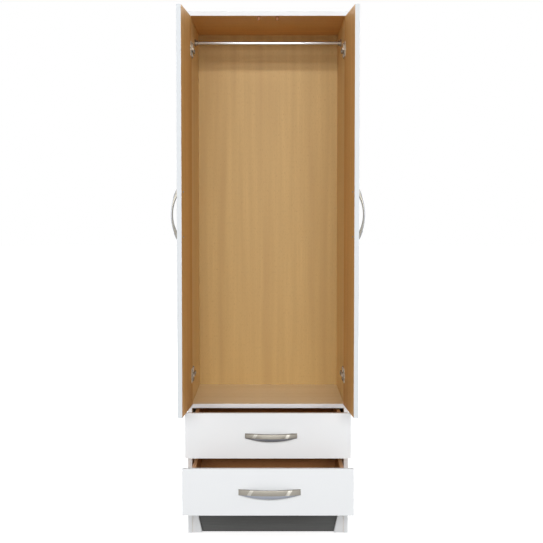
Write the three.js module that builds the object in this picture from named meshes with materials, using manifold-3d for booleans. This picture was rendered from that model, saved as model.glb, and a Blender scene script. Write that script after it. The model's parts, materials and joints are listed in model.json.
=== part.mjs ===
// Tall wardrobe with two hinged doors over two drawers, shown open as in use.
// Millimetres, +Z up, the front looks along -Y, and +X is to the right of someone who faces it.
import * as THREE from 'three';
import { mergeVertices } from 'three/addons/utils/BufferGeometryUtils.js';
import Module from 'manifold-3d';

const wasm = await Module();
wasm.setup();

// Carcass boards
const overallWidth = 550;
const overallHeight = 1778;
const sideDepth = 460;
const boardThickness = 15;
const backThickness = 3;
const backInset = 1;
const plinthHeight = 135;
const rearPlinthInset = 30;
const footBlockRecess = 3;
const footBlockTopWidth = 3;
const footBlockBottomWidth = 33;

// Door and drawer fronts
const frontThickness = 15;
const frontGap = 3;
const sideReveal = 1;
const middleGap = 3;
const betweenFrontsGap = 3;
const underTopGap = 2;
const baseReveal = 3;
const floorPanelLap = 10;
const drawerFrontHeight = 151;

// Drawer boxes
const drawerSideThickness = 12;
const drawerSideHeight = 110;
const drawerSideLift = 24;
const drawerBoxDepth = 400;
const drawerBackDrop = 10;
const drawerBottomThickness = 3;
const grooveLift = 10;
const grooveDepth = 6;
const grooveClearance = 0.2;

// Roller runners, one pair of steel profiles on each side of a drawer
const runnerGap = 12.5;
const runnerSteel = 1.2;
const runnerLength = 400;
const runnerSetback = 2;
const runnerDrop = 3;
const runnerHeight = 24;
const runnerOpenLip = 2.5;
const underFlangeWidth = 11.5;
const rollerRadius = 8.5;
const rollerWidth = 5.5;
const rollerAxleRadius = 2;
const rollerInset = 12;
const rollerRimBevel = 0.8;
const runningClearance = 0.3;

// How far each drawer stands open at rest; the lower one is just short of its stop
const runnerExtensionLoss = 100;
const lowerDrawerShortOfStop = 10;
const upperDrawerPull = 145;

// Concealed hinges: the cup in the door turns on a pin held by a hooked arm on the side panel
const doorRestAngle = THREE.MathUtils.degToRad(93.5);
const upperHingeInset = 108;
const lowerHingeInset = 102;
const pocketRadius = 17.5;
const pocketDepth = 12;
const pocketEdgeWall = 3;
const hingeSteel = 1;
const seatGap = 0.3;
const cupRimLap = 0.4;
const cupFlangeThickness = 1.2;
const cupEarHalfWidth = 9;
const cupEarHalfLength = 26;
const pivotFromEdge = 7.25;
const pivotFromInnerFace = 8.25;
const pinRadius = 1;
const eyeRadius = 2;
const eyeClearance = 0.3;
const hookWidth = 8;
const armWidth = 14;
const armThickness = 6;
const armFront = 6;
const armRear = 70;
const plateThickness = 4;
const plateHalfBar = 6;
const plateFront = 10;
const plateRear = 66;
const plateWingHalfLength = 26;
const plateWingFront = 28;
const plateWingRear = 46;

// Hanging rail and its sockets
const railRadius = 6.25;
const railWall = 1;
const railDrop = 60.5;
const railSetback = 215;
const socketDepth = 12;
const socketCollarWall = 2;
const socketFlangeRadius = 13;
const socketFlangeThickness = 3;

// Door stops under the top panel
const stopRadius = 5.5;
const stopLength = 12;
const stopOffset = 31;
const stopHeadBevel = 1.5;

// Bow handles
const handleProjection = 23;
const handleStrap = 5;
const handleEndThickness = 4;
const handleFootLength = 16;
const doorHandleLength = 160;
const doorHandleWidth = 17;
const doorHandleSwell = 8;
const doorHandleCentreHeight = 1098;
const doorHandleFromEdge = 38;
const upperHandleLength = 172;
const upperHandleWidth = 17;
const upperHandleSwell = 8;
const upperHandleOffset = 10;
const lowerHandleLength = 198;
const lowerHandleWidth = 19.5;
const lowerHandleSwell = 9;
const lowerHandleOffset = 5;

// One overrun serves every cut
const cutOverrun = 2;

// Counts of flat steps on round shapes
const roundSteps = 48;
const smallRoundSteps = 24;
const bowSteps = 20;

// Planes that several pieces share
const halfWidth = overallWidth / 2;
const innerHalfWidth = halfWidth - boardThickness;
const topUnderside = overallHeight - boardThickness;
const frontBack = -frontGap;
const frontFace = frontBack - frontThickness;
const plinthFront = footBlockRecess + boardThickness;
const baseTop = plinthHeight + boardThickness;
const lowerFrontBottom = plinthHeight + baseReveal;
const lowerFrontTop = lowerFrontBottom + drawerFrontHeight;
const upperFrontBottom = lowerFrontTop + betweenFrontsGap;
const upperFrontTop = upperFrontBottom + drawerFrontHeight;
const floorPanelBottom = upperFrontTop - floorPanelLap;
const floorPanelTop = floorPanelBottom + boardThickness;
const doorBottom = upperFrontTop + betweenFrontsGap;
const doorTop = topUnderside - underTopGap;
const doorEdge = halfWidth - sideReveal;
const doorFreeEdge = middleGap / 2;
const pivotX = doorEdge - pivotFromEdge;
const pivotY = frontBack - pivotFromInnerFace;
const cupCentreX = doorEdge - pocketEdgeWall - pocketRadius;
const cupRadius = pocketRadius - seatGap;
const cupMouthRadius = cupRadius - hingeSteel;
const plateFace = innerHalfWidth - plateThickness;
const armFace = plateFace - armThickness;
const drawerHalfWidth = innerHalfWidth - runnerGap;
const drawerInnerHalfWidth = drawerHalfWidth - drawerSideThickness;
const drawerRear = frontBack + drawerBoxDepth;
const drawerTravel = drawerBoxDepth - runnerExtensionLoss;
const lowerDrawerPull = drawerTravel - lowerDrawerShortOfStop;

// Finishes
const whiteBoard = new THREE.MeshStandardMaterial({ color: 0xe8e8e8, roughness: 0.45 });
const beechBoard = new THREE.MeshStandardMaterial({ color: 0xb48a58, roughness: 0.5 });
const drawerBeech = new THREE.MeshStandardMaterial({ color: 0xc8ae88, roughness: 0.55 });
const hardboard = new THREE.MeshStandardMaterial({ color: 0xb08552, roughness: 0.6 });
const darkPlinth = new THREE.MeshStandardMaterial({ color: 0x4d4d4d, roughness: 0.6 });
const satinNickel = new THREE.MeshStandardMaterial({ color: 0x9a958b, roughness: 0.3, metalness: 1 });
const chromedSteel = new THREE.MeshStandardMaterial({ color: 0xd9dbdd, roughness: 0.12, metalness: 1 });
const hingeNickel = new THREE.MeshStandardMaterial({ color: 0x8b8b88, roughness: 0.35, metalness: 1 });
const whiteEnamel = new THREE.MeshStandardMaterial({ color: 0xe4e4e0, roughness: 0.4 });
const whiteNylon = new THREE.MeshStandardMaterial({ color: 0xeeeeea, roughness: 0.4 });
const copperPlastic = new THREE.MeshStandardMaterial({ color: 0xa86c40, roughness: 0.5 });

// Makes a named mesh in a group
function addPiece(group, name, geometry, finish) {
  const mesh = new THREE.Mesh(geometry, finish);
  mesh.name = name;
  group.add(mesh);
  return mesh;
}

// A board between two corners, so that neighbours share a plane exactly
function boardGeometry(low, high) {
  const geometry = new THREE.BoxGeometry(1, 1, 1);
  const place = geometry.attributes.position;
  for (let i = 0; i < place.count; i += 1) {
    const x = place.getX(i) < 0 ? low.x : high.x;
    const y = place.getY(i) < 0 ? low.y : high.y;
    const z = place.getZ(i) < 0 ? low.z : high.z;
    place.setXYZ(i, x, y, z);
  }
  return geometry;
}

// The same board on the left or right: side is -1 or +1, near and far are distances from the middle
function sideBoard(side, near, far, yFront, yRear, zLow, zHigh) {
  const low = new THREE.Vector3(Math.min(side * near, side * far), yFront, zLow);
  const high = new THREE.Vector3(Math.max(side * near, side * far), yRear, zHigh);
  return boardGeometry(low, high);
}

// A flat outline in X and Z carried along Y from front to rear
function extrudeAlongY(outline, yFront, yRear) {
  const shape = new THREE.Shape(outline);
  const geometry = new THREE.ExtrudeGeometry(shape, { depth: yRear - yFront, bevelEnabled: false });
  geometry.rotateX(Math.PI / 2);
  geometry.translate(0, yRear, 0);
  return geometry;
}

// A closed mesh as a solid that can be cut and joined
function toSolid(geometry) {
  const bare = geometry.clone();
  bare.deleteAttribute('normal');
  bare.deleteAttribute('uv');
  const merged = mergeVertices(bare);
  const vertProperties = new Float32Array(merged.attributes.position.array);
  const triVerts = new Uint32Array(merged.index.array);
  return new wasm.Manifold(new wasm.Mesh({ numProp: 3, vertProperties, triVerts }));
}

// The solid back as a flat-shaded geometry
function toGeometry(solid) {
  const mesh = solid.getMesh();
  const geometry = new THREE.BufferGeometry();
  geometry.setAttribute('position', new THREE.BufferAttribute(mesh.vertProperties, 3));
  geometry.setIndex(new THREE.BufferAttribute(mesh.triVerts, 1));
  const flat = geometry.toNonIndexed();
  flat.computeVertexNormals();
  return flat;
}

// Points of a circular arc from (-halfChord, base) over (0, crown) to (halfChord, base)
function bowPoints(halfChord, base, crown) {
  const rise = crown - base;
  const radius = (halfChord * halfChord + rise * rise) / (2 * rise);
  const halfAngle = Math.asin(halfChord / radius);
  const points = [];
  for (let i = 0; i <= bowSteps; i += 1) {
    const angle = halfAngle * ((2 * i) / bowSteps - 1);
    points.push(new THREE.Vector2(radius * Math.sin(angle), crown - radius * (1 - Math.cos(angle))));
  }
  return points;
}

// A bow handle lying along X, its feet on the plane y = 0 and its grip towards -Y
function handleGeometry(length, width, swell) {
  const halfLength = length / 2;
  const footStart = halfLength - handleFootLength;
  const outer = bowPoints(halfLength, handleEndThickness, handleProjection);
  const inner = bowPoints(footStart, 0, handleProjection - handleStrap).reverse();
  const corners = [new THREE.Vector2(halfLength, 0), ...inner, new THREE.Vector2(-halfLength, 0)];
  const side = [...outer, ...corners].map((point) => new THREE.Vector2(point.x, -point.y));
  const reach = width + swell;
  const bow = new THREE.ExtrudeGeometry(new THREE.Shape(side), { depth: reach, bevelEnabled: false });
  bow.translate(0, 0, -width / 2 - swell);

  const lowerEdge = bowPoints(halfLength, width / 2, width / 2 + swell);
  const face = lowerEdge.map((point) => new THREE.Vector2(point.x, -point.y));
  face.push(new THREE.Vector2(halfLength, width / 2), new THREE.Vector2(-halfLength, width / 2));
  const leafDepth = handleProjection + cutOverrun;
  const leaf = new THREE.ExtrudeGeometry(new THREE.Shape(face), { depth: leafDepth, bevelEnabled: false });
  leaf.rotateX(Math.PI / 2);
  return toGeometry(toSolid(bow).intersect(toSolid(leaf)));
}

// Carcass boards
function addCarcass(group) {
  for (const [side, hand] of [[-1, 'left'], [1, 'right']]) {
    const panel = sideBoard(side, innerHalfWidth, halfWidth, 0, sideDepth, 0, topUnderside);
    addPiece(group, `${hand}_side_panel`, panel, whiteBoard);
    const blockTop = side * (innerHalfWidth - footBlockTopWidth);
    const blockBottom = side * (innerHalfWidth - footBlockBottomWidth);
    const block = [
      new THREE.Vector2(side * innerHalfWidth, 0),
      new THREE.Vector2(side * innerHalfWidth, plinthHeight),
      new THREE.Vector2(blockTop, plinthHeight),
      new THREE.Vector2(blockBottom, 0),
    ];
    addPiece(group, `${hand}_foot_block`, extrudeAlongY(block, footBlockRecess, plinthFront), whiteBoard);
  }
  addPiece(group, 'top_panel', boardGeometry(
    new THREE.Vector3(-halfWidth, frontFace, topUnderside),
    new THREE.Vector3(halfWidth, sideDepth, overallHeight),
  ), whiteBoard);
  addPiece(group, 'wardrobe_floor_panel', boardGeometry(
    new THREE.Vector3(-innerHalfWidth, 0, floorPanelBottom),
    new THREE.Vector3(innerHalfWidth, sideDepth, floorPanelTop),
  ), beechBoard);
  addPiece(group, 'base_panel', boardGeometry(
    new THREE.Vector3(-innerHalfWidth, 0, plinthHeight),
    new THREE.Vector3(innerHalfWidth, sideDepth, baseTop),
  ), whiteBoard);
  addPiece(group, 'front_plinth', boardGeometry(
    new THREE.Vector3(-innerHalfWidth, plinthFront, 0),
    new THREE.Vector3(innerHalfWidth, plinthFront + boardThickness, plinthHeight),
  ), darkPlinth);
  const rearPlinthRear = sideDepth - rearPlinthInset;
  addPiece(group, 'rear_plinth', boardGeometry(
    new THREE.Vector3(-innerHalfWidth, rearPlinthRear - boardThickness, 0),
    new THREE.Vector3(innerHalfWidth, rearPlinthRear, plinthHeight),
  ), whiteBoard);
  addPiece(group, 'back_panel', boardGeometry(
    new THREE.Vector3(-halfWidth + backInset, sideDepth, plinthHeight),
    new THREE.Vector3(halfWidth - backInset, sideDepth + backThickness, overallHeight - backInset),
  ), hardboard);
}

// Hanging rail, a tube whose ends rest in two sockets
function addRail(group) {
  const railHeight = topUnderside - railDrop;
  const recess = railRadius + seatGap;
  const railHalf = innerHalfWidth - socketFlangeThickness - seatGap;
  const tube = new THREE.LatheGeometry([
    new THREE.Vector2(railRadius - railWall, -railHalf),
    new THREE.Vector2(railRadius, -railHalf),
    new THREE.Vector2(railRadius, railHalf),
    new THREE.Vector2(railRadius - railWall, railHalf),
    new THREE.Vector2(railRadius - railWall, -railHalf),
  ], smallRoundSteps);
  const rail = addPiece(group, 'hanging_rail', tube, chromedSteel);
  rail.rotation.z = -Math.PI / 2;
  rail.position.set(0, railSetback, railHeight);
  for (const [side, hand] of [[-1, 'left'], [1, 'right']]) {
    const socket = new THREE.LatheGeometry([
      new THREE.Vector2(0, 0),
      new THREE.Vector2(socketFlangeRadius, 0),
      new THREE.Vector2(socketFlangeRadius, socketFlangeThickness),
      new THREE.Vector2(recess + socketCollarWall, socketFlangeThickness),
      new THREE.Vector2(recess + socketCollarWall, socketDepth),
      new THREE.Vector2(recess, socketDepth),
      new THREE.Vector2(recess, socketFlangeThickness),
      new THREE.Vector2(0, socketFlangeThickness),
    ], smallRoundSteps);
    const mesh = addPiece(group, `${hand}_rail_socket`, socket, chromedSteel);
    mesh.rotation.z = side * Math.PI / 2;
    mesh.position.set(side * innerHalfWidth, railSetback, railHeight);
  }
}

// Round stops that hang from the top panel just behind the closed doors
function addDoorStops(group) {
  const stopCentre = frontBack + seatGap + stopRadius;
  for (const [side, hand] of [[-1, 'left'], [1, 'right']]) {
    const peg = new THREE.LatheGeometry([
      new THREE.Vector2(0, -stopLength),
      new THREE.Vector2(stopRadius - stopHeadBevel, -stopLength),
      new THREE.Vector2(stopRadius, -stopLength + stopHeadBevel),
      new THREE.Vector2(stopRadius, 0),
      new THREE.Vector2(0, 0),
    ], smallRoundSteps);
    peg.rotateX(Math.PI / 2);
    const mesh = addPiece(group, `${hand}_door_stop`, peg, copperPlastic);
    mesh.position.set(side * stopOffset, stopCentre, topUnderside);
  }
}

// Winged mounting plate on the side panel, centred on height zero
function platePieceGeometry(side) {
  const shape = new THREE.Shape([
    new THREE.Vector2(plateFront, -plateHalfBar),
    new THREE.Vector2(plateWingFront, -plateHalfBar),
    new THREE.Vector2(plateWingFront, -plateWingHalfLength),
    new THREE.Vector2(plateWingRear, -plateWingHalfLength),
    new THREE.Vector2(plateWingRear, -plateHalfBar),
    new THREE.Vector2(plateRear, -plateHalfBar),
    new THREE.Vector2(plateRear, plateHalfBar),
    new THREE.Vector2(plateWingRear, plateHalfBar),
    new THREE.Vector2(plateWingRear, plateWingHalfLength),
    new THREE.Vector2(plateWingFront, plateWingHalfLength),
    new THREE.Vector2(plateWingFront, plateHalfBar),
    new THREE.Vector2(plateFront, plateHalfBar),
  ]);
  const plate = new THREE.ExtrudeGeometry(shape, { depth: plateThickness, bevelEnabled: false });
  plate.rotateX(Math.PI / 2);
  plate.rotateZ(Math.PI / 2);
  plate.translate(side > 0 ? plateFace : -innerHalfWidth, 0, 0);
  return plate;
}

// Hooked arm: a bar on the plate, and a narrower hook that reaches round the door edge to the pin
function armPieceGeometry(side) {
  const bar = sideBoard(side, armFace, plateFace, armFront, armRear, -armWidth / 2, armWidth / 2);
  const legRear = pivotY - eyeRadius;
  const outline = new THREE.Shape();
  outline.moveTo(side * armFace, armFront + cutOverrun);
  outline.lineTo(side * armFace, legRear);
  outline.lineTo(side * pivotX, legRear);
  for (let i = 1; i <= smallRoundSteps; i += 1) {
    const angle = -Math.PI / 2 + (1.5 * Math.PI * i) / smallRoundSteps;
    const x = pivotX + eyeRadius * Math.cos(angle);
    outline.lineTo(side * x, pivotY + eyeRadius * Math.sin(angle));
  }
  outline.lineTo(side * plateFace, pivotY);
  outline.lineTo(side * plateFace, armFront + cutOverrun);
  const hole = new THREE.Path();
  hole.absarc(side * pivotX, pivotY, pinRadius + eyeClearance, 0, 2 * Math.PI, side > 0);
  outline.holes.push(hole);
  const hook = new THREE.ExtrudeGeometry(outline, { depth: hookWidth, bevelEnabled: false });
  hook.translate(0, 0, -hookWidth / 2);
  return toGeometry(toSolid(bar).add(toSolid(hook)));
}

// Cup with its flange and pin, in the closed door, centred on height zero
function cupPieceGeometry(side) {
  const flangeBack = frontBack + seatGap;
  const flangeFace = flangeBack + cupFlangeThickness;
  const cupBack = frontBack - pocketDepth + seatGap;
  const rim = pocketRadius + cupRimLap;
  const shell = new THREE.LatheGeometry([
    new THREE.Vector2(0, cupBack),
    new THREE.Vector2(cupRadius, cupBack),
    new THREE.Vector2(cupRadius, flangeBack),
    new THREE.Vector2(rim, flangeBack),
    new THREE.Vector2(rim, flangeFace),
    new THREE.Vector2(cupMouthRadius, flangeFace),
    new THREE.Vector2(cupMouthRadius, cupBack + hingeSteel),
    new THREE.Vector2(0, cupBack + hingeSteel),
  ], roundSteps);
  shell.translate(side * cupCentreX, 0, 0);
  const ears = sideBoard(side, cupCentreX - cupEarHalfWidth, cupCentreX + cupEarHalfWidth,
    flangeBack, flangeFace, -cupEarHalfLength, cupEarHalfLength);
  const mouthLength = pocketDepth + cutOverrun;
  const mouth = new THREE.CylinderGeometry(cupMouthRadius, cupMouthRadius, mouthLength, roundSteps);
  mouth.translate(side * cupCentreX, flangeBack, 0);
  const reach = pivotX - cupCentreX;
  const innerChord = Math.sqrt(cupMouthRadius ** 2 - reach ** 2);
  const outerChord = Math.sqrt(cupRadius ** 2 - reach ** 2);
  const pin = new THREE.CylinderGeometry(pinRadius, pinRadius, innerChord + outerChord, smallRoundSteps);
  pin.rotateX(Math.PI / 2);
  pin.translate(side * pivotX, pivotY, 0);
  const flange = toSolid(ears).subtract(toSolid(mouth));
  return toGeometry(toSolid(shell).add(flange).add(toSolid(pin)));
}

// One door with its handle and hinges, turned open about the hinge pins
function addDoor(carcass, side, hand) {
  const swing = new THREE.Group();
  swing.position.set(side * pivotX, pivotY, 0);
  swing.rotation.z = side * doorRestAngle;
  const closed = new THREE.Group();
  closed.position.set(-side * pivotX, -pivotY, 0);
  swing.add(closed);
  carcass.add(swing);

  const hingeHeights = [['upper', doorTop - upperHingeInset], ['lower', doorBottom + lowerHingeInset]];
  let door = toSolid(sideBoard(side, doorFreeEdge, doorEdge, frontFace, frontBack, doorBottom, doorTop));
  for (const [level, height] of hingeHeights) {
    const boreLength = pocketDepth + cutOverrun;
    const bore = new THREE.CylinderGeometry(pocketRadius, pocketRadius, boreLength, roundSteps);
    bore.translate(side * cupCentreX, frontBack - pocketDepth + boreLength / 2, height);
    door = door.subtract(toSolid(bore));
    const cup = addPiece(closed, `${hand}_${level}_hinge_cup`, cupPieceGeometry(side), hingeNickel);
    cup.position.z = height;
    const plate = addPiece(carcass, `${hand}_${level}_hinge_plate`, platePieceGeometry(side), hingeNickel);
    plate.position.z = height;
    const arm = addPiece(carcass, `${hand}_${level}_hinge_arm`, armPieceGeometry(side), hingeNickel);
    arm.position.z = height;
  }
  addPiece(closed, `${hand}_door_panel`, toGeometry(door), whiteBoard);

  const bow = handleGeometry(doorHandleLength, doorHandleWidth, doorHandleSwell);
  const handle = addPiece(closed, `${hand}_door_handle`, bow, satinNickel);
  handle.rotation.y = side * Math.PI / 2;
  handle.position.set(side * doorHandleFromEdge, frontFace - seatGap, doorHandleCentreHeight);
}

// Wheel with its axle along X, the axle towards +X from the wheel's middle
function rollerGeometry(axleLength) {
  const halfWheel = rollerWidth / 2;
  const wheel = new THREE.LatheGeometry([
    new THREE.Vector2(0, -halfWheel),
    new THREE.Vector2(rollerRadius - rollerRimBevel, -halfWheel),
    new THREE.Vector2(rollerRadius, -halfWheel + rollerRimBevel),
    new THREE.Vector2(rollerRadius, halfWheel - rollerRimBevel),
    new THREE.Vector2(rollerRadius - rollerRimBevel, halfWheel),
    new THREE.Vector2(rollerAxleRadius, halfWheel),
    new THREE.Vector2(rollerAxleRadius, halfWheel + axleLength),
    new THREE.Vector2(0, halfWheel + axleLength),
  ], smallRoundSteps);
  wheel.rotateZ(-Math.PI / 2);
  return wheel;
}

// Steel profiles and rollers of one side of one drawer
function addRunners(carcass, drawer, side, name, boxBottom) {
  const channelBottom = boxBottom - runnerDrop;
  const channelTop = channelBottom + runnerHeight;
  const web = innerHalfWidth - runnerSteel;
  const lip = drawerHalfWidth + runnerOpenLip;
  const channel = [
    [innerHalfWidth, channelBottom], [innerHalfWidth, channelTop], [lip, channelTop],
    [lip, channelTop - runnerSteel], [web, channelTop - runnerSteel],
    [web, channelBottom + runnerSteel], [lip, channelBottom + runnerSteel], [lip, channelBottom],
  ].map(([x, z]) => new THREE.Vector2(side * x, z));
  const channelRear = runnerSetback + runnerLength;
  const profile = extrudeAlongY(channel, runnerSetback, channelRear);
  addPiece(carcass, `${name}_cabinet_runner`, profile, whiteEnamel);

  const rollerBottom = channelBottom + runnerSteel + runningClearance;
  const rollerTop = rollerBottom + 2 * rollerRadius;
  const treadLow = rollerTop + runningClearance;
  const drawerWeb = drawerHalfWidth + runnerSteel;
  const rollerFar = web - runnerOpenLip;
  const rollerNear = rollerFar - rollerWidth;
  const tread = [
    [drawerHalfWidth - underFlangeWidth, boxBottom], [drawerHalfWidth, boxBottom],
    [drawerHalfWidth, treadLow + runnerSteel], [rollerFar, treadLow + runnerSteel],
    [rollerFar, treadLow], [drawerWeb, treadLow],
    [drawerWeb, boxBottom - runnerSteel], [drawerHalfWidth - underFlangeWidth, boxBottom - runnerSteel],
  ].map(([x, z]) => new THREE.Vector2(side * x, z));
  addPiece(drawer, `${name}_drawer_runner`, extrudeAlongY(tread, frontBack, drawerRear), whiteEnamel);

  const rollerMiddle = (rollerNear + rollerFar) / 2;
  const rollerHeight = rollerBottom + rollerRadius;
  const frontAxle = rollerGeometry(web - seatGap - rollerFar);
  const front = addPiece(carcass, `${name}_front_roller`, frontAxle, whiteNylon);
  front.rotation.z = side > 0 ? 0 : Math.PI;
  front.position.set(side * rollerMiddle, runnerSetback + rollerInset, rollerHeight);
  const rearAxle = rollerGeometry(rollerNear - drawerWeb - seatGap);
  const rear = addPiece(drawer, `${name}_rear_roller`, rearAxle, whiteNylon);
  rear.rotation.z = side > 0 ? Math.PI : 0;
  rear.position.set(side * rollerMiddle, drawerRear - rollerInset, rollerHeight);
}

// One drawer: a front, a box of four boards on a grooved-in bottom, a handle and its runners
function addDrawer(carcass, level, frontBottom, pull, handleSizes) {
  const drawer = new THREE.Group();
  drawer.position.y = -pull;
  carcass.add(drawer);
  const boxBottom = frontBottom + drawerSideLift;
  const boxTop = boxBottom + drawerSideHeight;
  const grooveLow = boxBottom + grooveLift;
  const grooveHigh = grooveLow + drawerBottomThickness + 2 * grooveClearance;
  const bottomLow = grooveLow + grooveClearance;
  const bottomHigh = bottomLow + drawerBottomThickness;
  const grooveWall = drawerInnerHalfWidth + grooveDepth;
  const bottomHalf = grooveWall - grooveClearance;

  addPiece(drawer, `${level}_drawer_front`, boardGeometry(
    new THREE.Vector3(-doorEdge, frontFace, frontBottom),
    new THREE.Vector3(doorEdge, frontBack, frontBottom + drawerFrontHeight),
  ), whiteBoard);
  for (const [side, hand] of [[-1, 'left'], [1, 'right']]) {
    const section = [
      [drawerHalfWidth, boxBottom], [drawerHalfWidth, boxTop], [drawerInnerHalfWidth, boxTop],
      [drawerInnerHalfWidth, grooveHigh], [grooveWall, grooveHigh], [grooveWall, grooveLow],
      [drawerInnerHalfWidth, grooveLow], [drawerInnerHalfWidth, boxBottom],
    ].map(([x, z]) => new THREE.Vector2(side * x, z));
    const board = extrudeAlongY(section, frontBack, drawerRear);
    addPiece(drawer, `${level}_drawer_${hand}_side`, board, drawerBeech);
    addRunners(carcass, drawer, side, `${level}_${hand}`, boxBottom);
  }
  addPiece(drawer, `${level}_drawer_bottom`, boardGeometry(
    new THREE.Vector3(-bottomHalf, frontBack, bottomLow),
    new THREE.Vector3(bottomHalf, drawerRear, bottomHigh),
  ), hardboard);
  addPiece(drawer, `${level}_drawer_back`, boardGeometry(
    new THREE.Vector3(-drawerInnerHalfWidth, drawerRear - drawerSideThickness, bottomHigh),
    new THREE.Vector3(drawerInnerHalfWidth, drawerRear, boxTop - drawerBackDrop),
  ), drawerBeech);

  const bow = handleGeometry(handleSizes.length, handleSizes.width, handleSizes.swell);
  const handle = addPiece(drawer, `${level}_drawer_handle`, bow, satinNickel);
  handle.position.set(handleSizes.offset, frontFace, frontBottom + drawerFrontHeight / 2);
}

// The whole wardrobe, then moved so that the origin is on the floor under the middle of its box
const carcass = new THREE.Group();
addCarcass(carcass);
addRail(carcass);
addDoorStops(carcass);
addDoor(carcass, -1, 'left');
addDoor(carcass, 1, 'right');
addDrawer(carcass, 'upper', upperFrontBottom, upperDrawerPull, {
  length: upperHandleLength, width: upperHandleWidth, swell: upperHandleSwell, offset: upperHandleOffset,
});
addDrawer(carcass, 'lower', lowerFrontBottom, lowerDrawerPull, {
  length: lowerHandleLength, width: lowerHandleWidth, swell: lowerHandleSwell, offset: lowerHandleOffset,
});

const drawerReach = frontFace - handleProjection - Math.max(lowerDrawerPull, upperDrawerPull);
const doorReach = pivotY - (pivotX - doorFreeEdge) * Math.sin(doorRestAngle);
const rearmost = sideDepth + backThickness;
carcass.position.y = -(rearmost + Math.min(drawerReach, doorReach)) / 2;

const wardrobe = new THREE.Group();
wardrobe.add(carcass);
export default wardrobe;
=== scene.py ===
"""Looks of a tall white wardrobe with two hinged doors over two drawers.

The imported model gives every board, joint and fitting its place. This script dresses the
boards, models the fittings in full, and sets a white studio round them. Lengths are in metres.
"""

import json
import logging
import math
from collections.abc import Callable
from dataclasses import dataclass, field
from enum import Enum

import bmesh
import bpy
from mathutils import Matrix, Vector


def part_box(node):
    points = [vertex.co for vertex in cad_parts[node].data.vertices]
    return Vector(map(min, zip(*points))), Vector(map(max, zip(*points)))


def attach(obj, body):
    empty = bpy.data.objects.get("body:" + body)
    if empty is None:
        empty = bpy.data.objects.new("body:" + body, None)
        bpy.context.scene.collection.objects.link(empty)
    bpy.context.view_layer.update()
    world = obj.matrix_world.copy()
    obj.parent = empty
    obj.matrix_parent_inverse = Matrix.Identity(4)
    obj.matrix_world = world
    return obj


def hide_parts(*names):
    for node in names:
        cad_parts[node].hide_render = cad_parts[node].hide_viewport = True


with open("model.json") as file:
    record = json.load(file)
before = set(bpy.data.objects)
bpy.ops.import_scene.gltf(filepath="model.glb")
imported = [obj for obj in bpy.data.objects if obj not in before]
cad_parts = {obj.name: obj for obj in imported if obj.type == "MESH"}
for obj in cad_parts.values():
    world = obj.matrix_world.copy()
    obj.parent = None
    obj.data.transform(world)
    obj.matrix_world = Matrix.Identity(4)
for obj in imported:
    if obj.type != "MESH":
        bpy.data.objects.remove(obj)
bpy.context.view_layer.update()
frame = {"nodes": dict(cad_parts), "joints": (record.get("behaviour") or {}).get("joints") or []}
MM = 0.001
NEAR = 0.05 * MM
RIGHTWARDS, REARWARDS, UPWARDS = Vector((1.0, 0.0, 0.0)), Vector((0.0, 1.0, 0.0)), Vector((0.0, 0.0, 1.0))
STILL = Matrix.Identity(4)
MIRRORED = Matrix.Scale(-1.0, 4, RIGHTWARDS)
LEVELS = ("upper", "lower")
# Gaps between vertices that are merged, in a new piece and in a CAD node
DOUBLED, WELDED = 0.005 * MM, 0.01 * MM
# The least share of a normal along a direction for a face to look that way, loosely and strictly
ALONG, STRAIGHT = 0.9, 0.99
# Angles between faces: still one plane, a board's corner, and an edge that shades sharp
FLAT, CORNER, CREASE = math.radians(1), math.radians(30), math.radians(40)
log = logging.getLogger("wardrobe")


class Grain(Enum):
    """The axis that a board's printed grain runs along."""

    ACROSS = 0
    DEEP = 1
    UPRIGHT = 2


class Hand(Enum):
    """The two sides of the wardrobe, each with its direction along X."""

    LEFT = -1
    RIGHT = 1

    @property
    def word(self) -> str:
        """The side's name as it stands in the nodes' names."""
        return self.name.lower()

    @property
    def image(self) -> Matrix:
        """What turns a right-hand fitting into this side's."""
        return MIRRORED if self is Hand.LEFT else STILL


class Part(Enum):
    """What is selected while a mesh is edited."""

    VERT = "VERT"
    EDGE = "EDGE"
    FACE = "FACE"


# Colour and nodes


def linear(hex_colour: str) -> tuple[float, float, float, float]:
    """Turn an sRGB hex colour into linear RGBA.

    Args:
        hex_colour: a colour such as "#C8A573".

    Returns:
        Linear red, green and blue, and an alpha of 1.
    """
    channels = [int(hex_colour[i:i + 2], 16) / 255 for i in (1, 3, 5)]
    toned = [c / 12.92 if c <= 0.04045 else ((c + 0.055) / 1.055) ** 2.4 for c in channels]
    return (*toned, 1.0)


def add_node(tree: bpy.types.NodeTree, kind: str, inputs: dict | None = None, **settings) -> bpy.types.Node:
    """Add a node with its settings, values and links.

    Args:
        tree: the material's or world's node tree.
        kind: the node's type.
        inputs: a value or another node's output for each named or numbered input.
        settings: the node's own attributes.

    Returns:
        The new node.
    """
    node = tree.nodes.new(kind)
    for name, value in settings.items():
        setattr(node, name, value)
    for key, value in (inputs or {}).items():
        if isinstance(value, bpy.types.NodeSocket):
            tree.links.new(value, node.inputs[key])
        else:
            node.inputs[key].default_value = value
    return node


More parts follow.
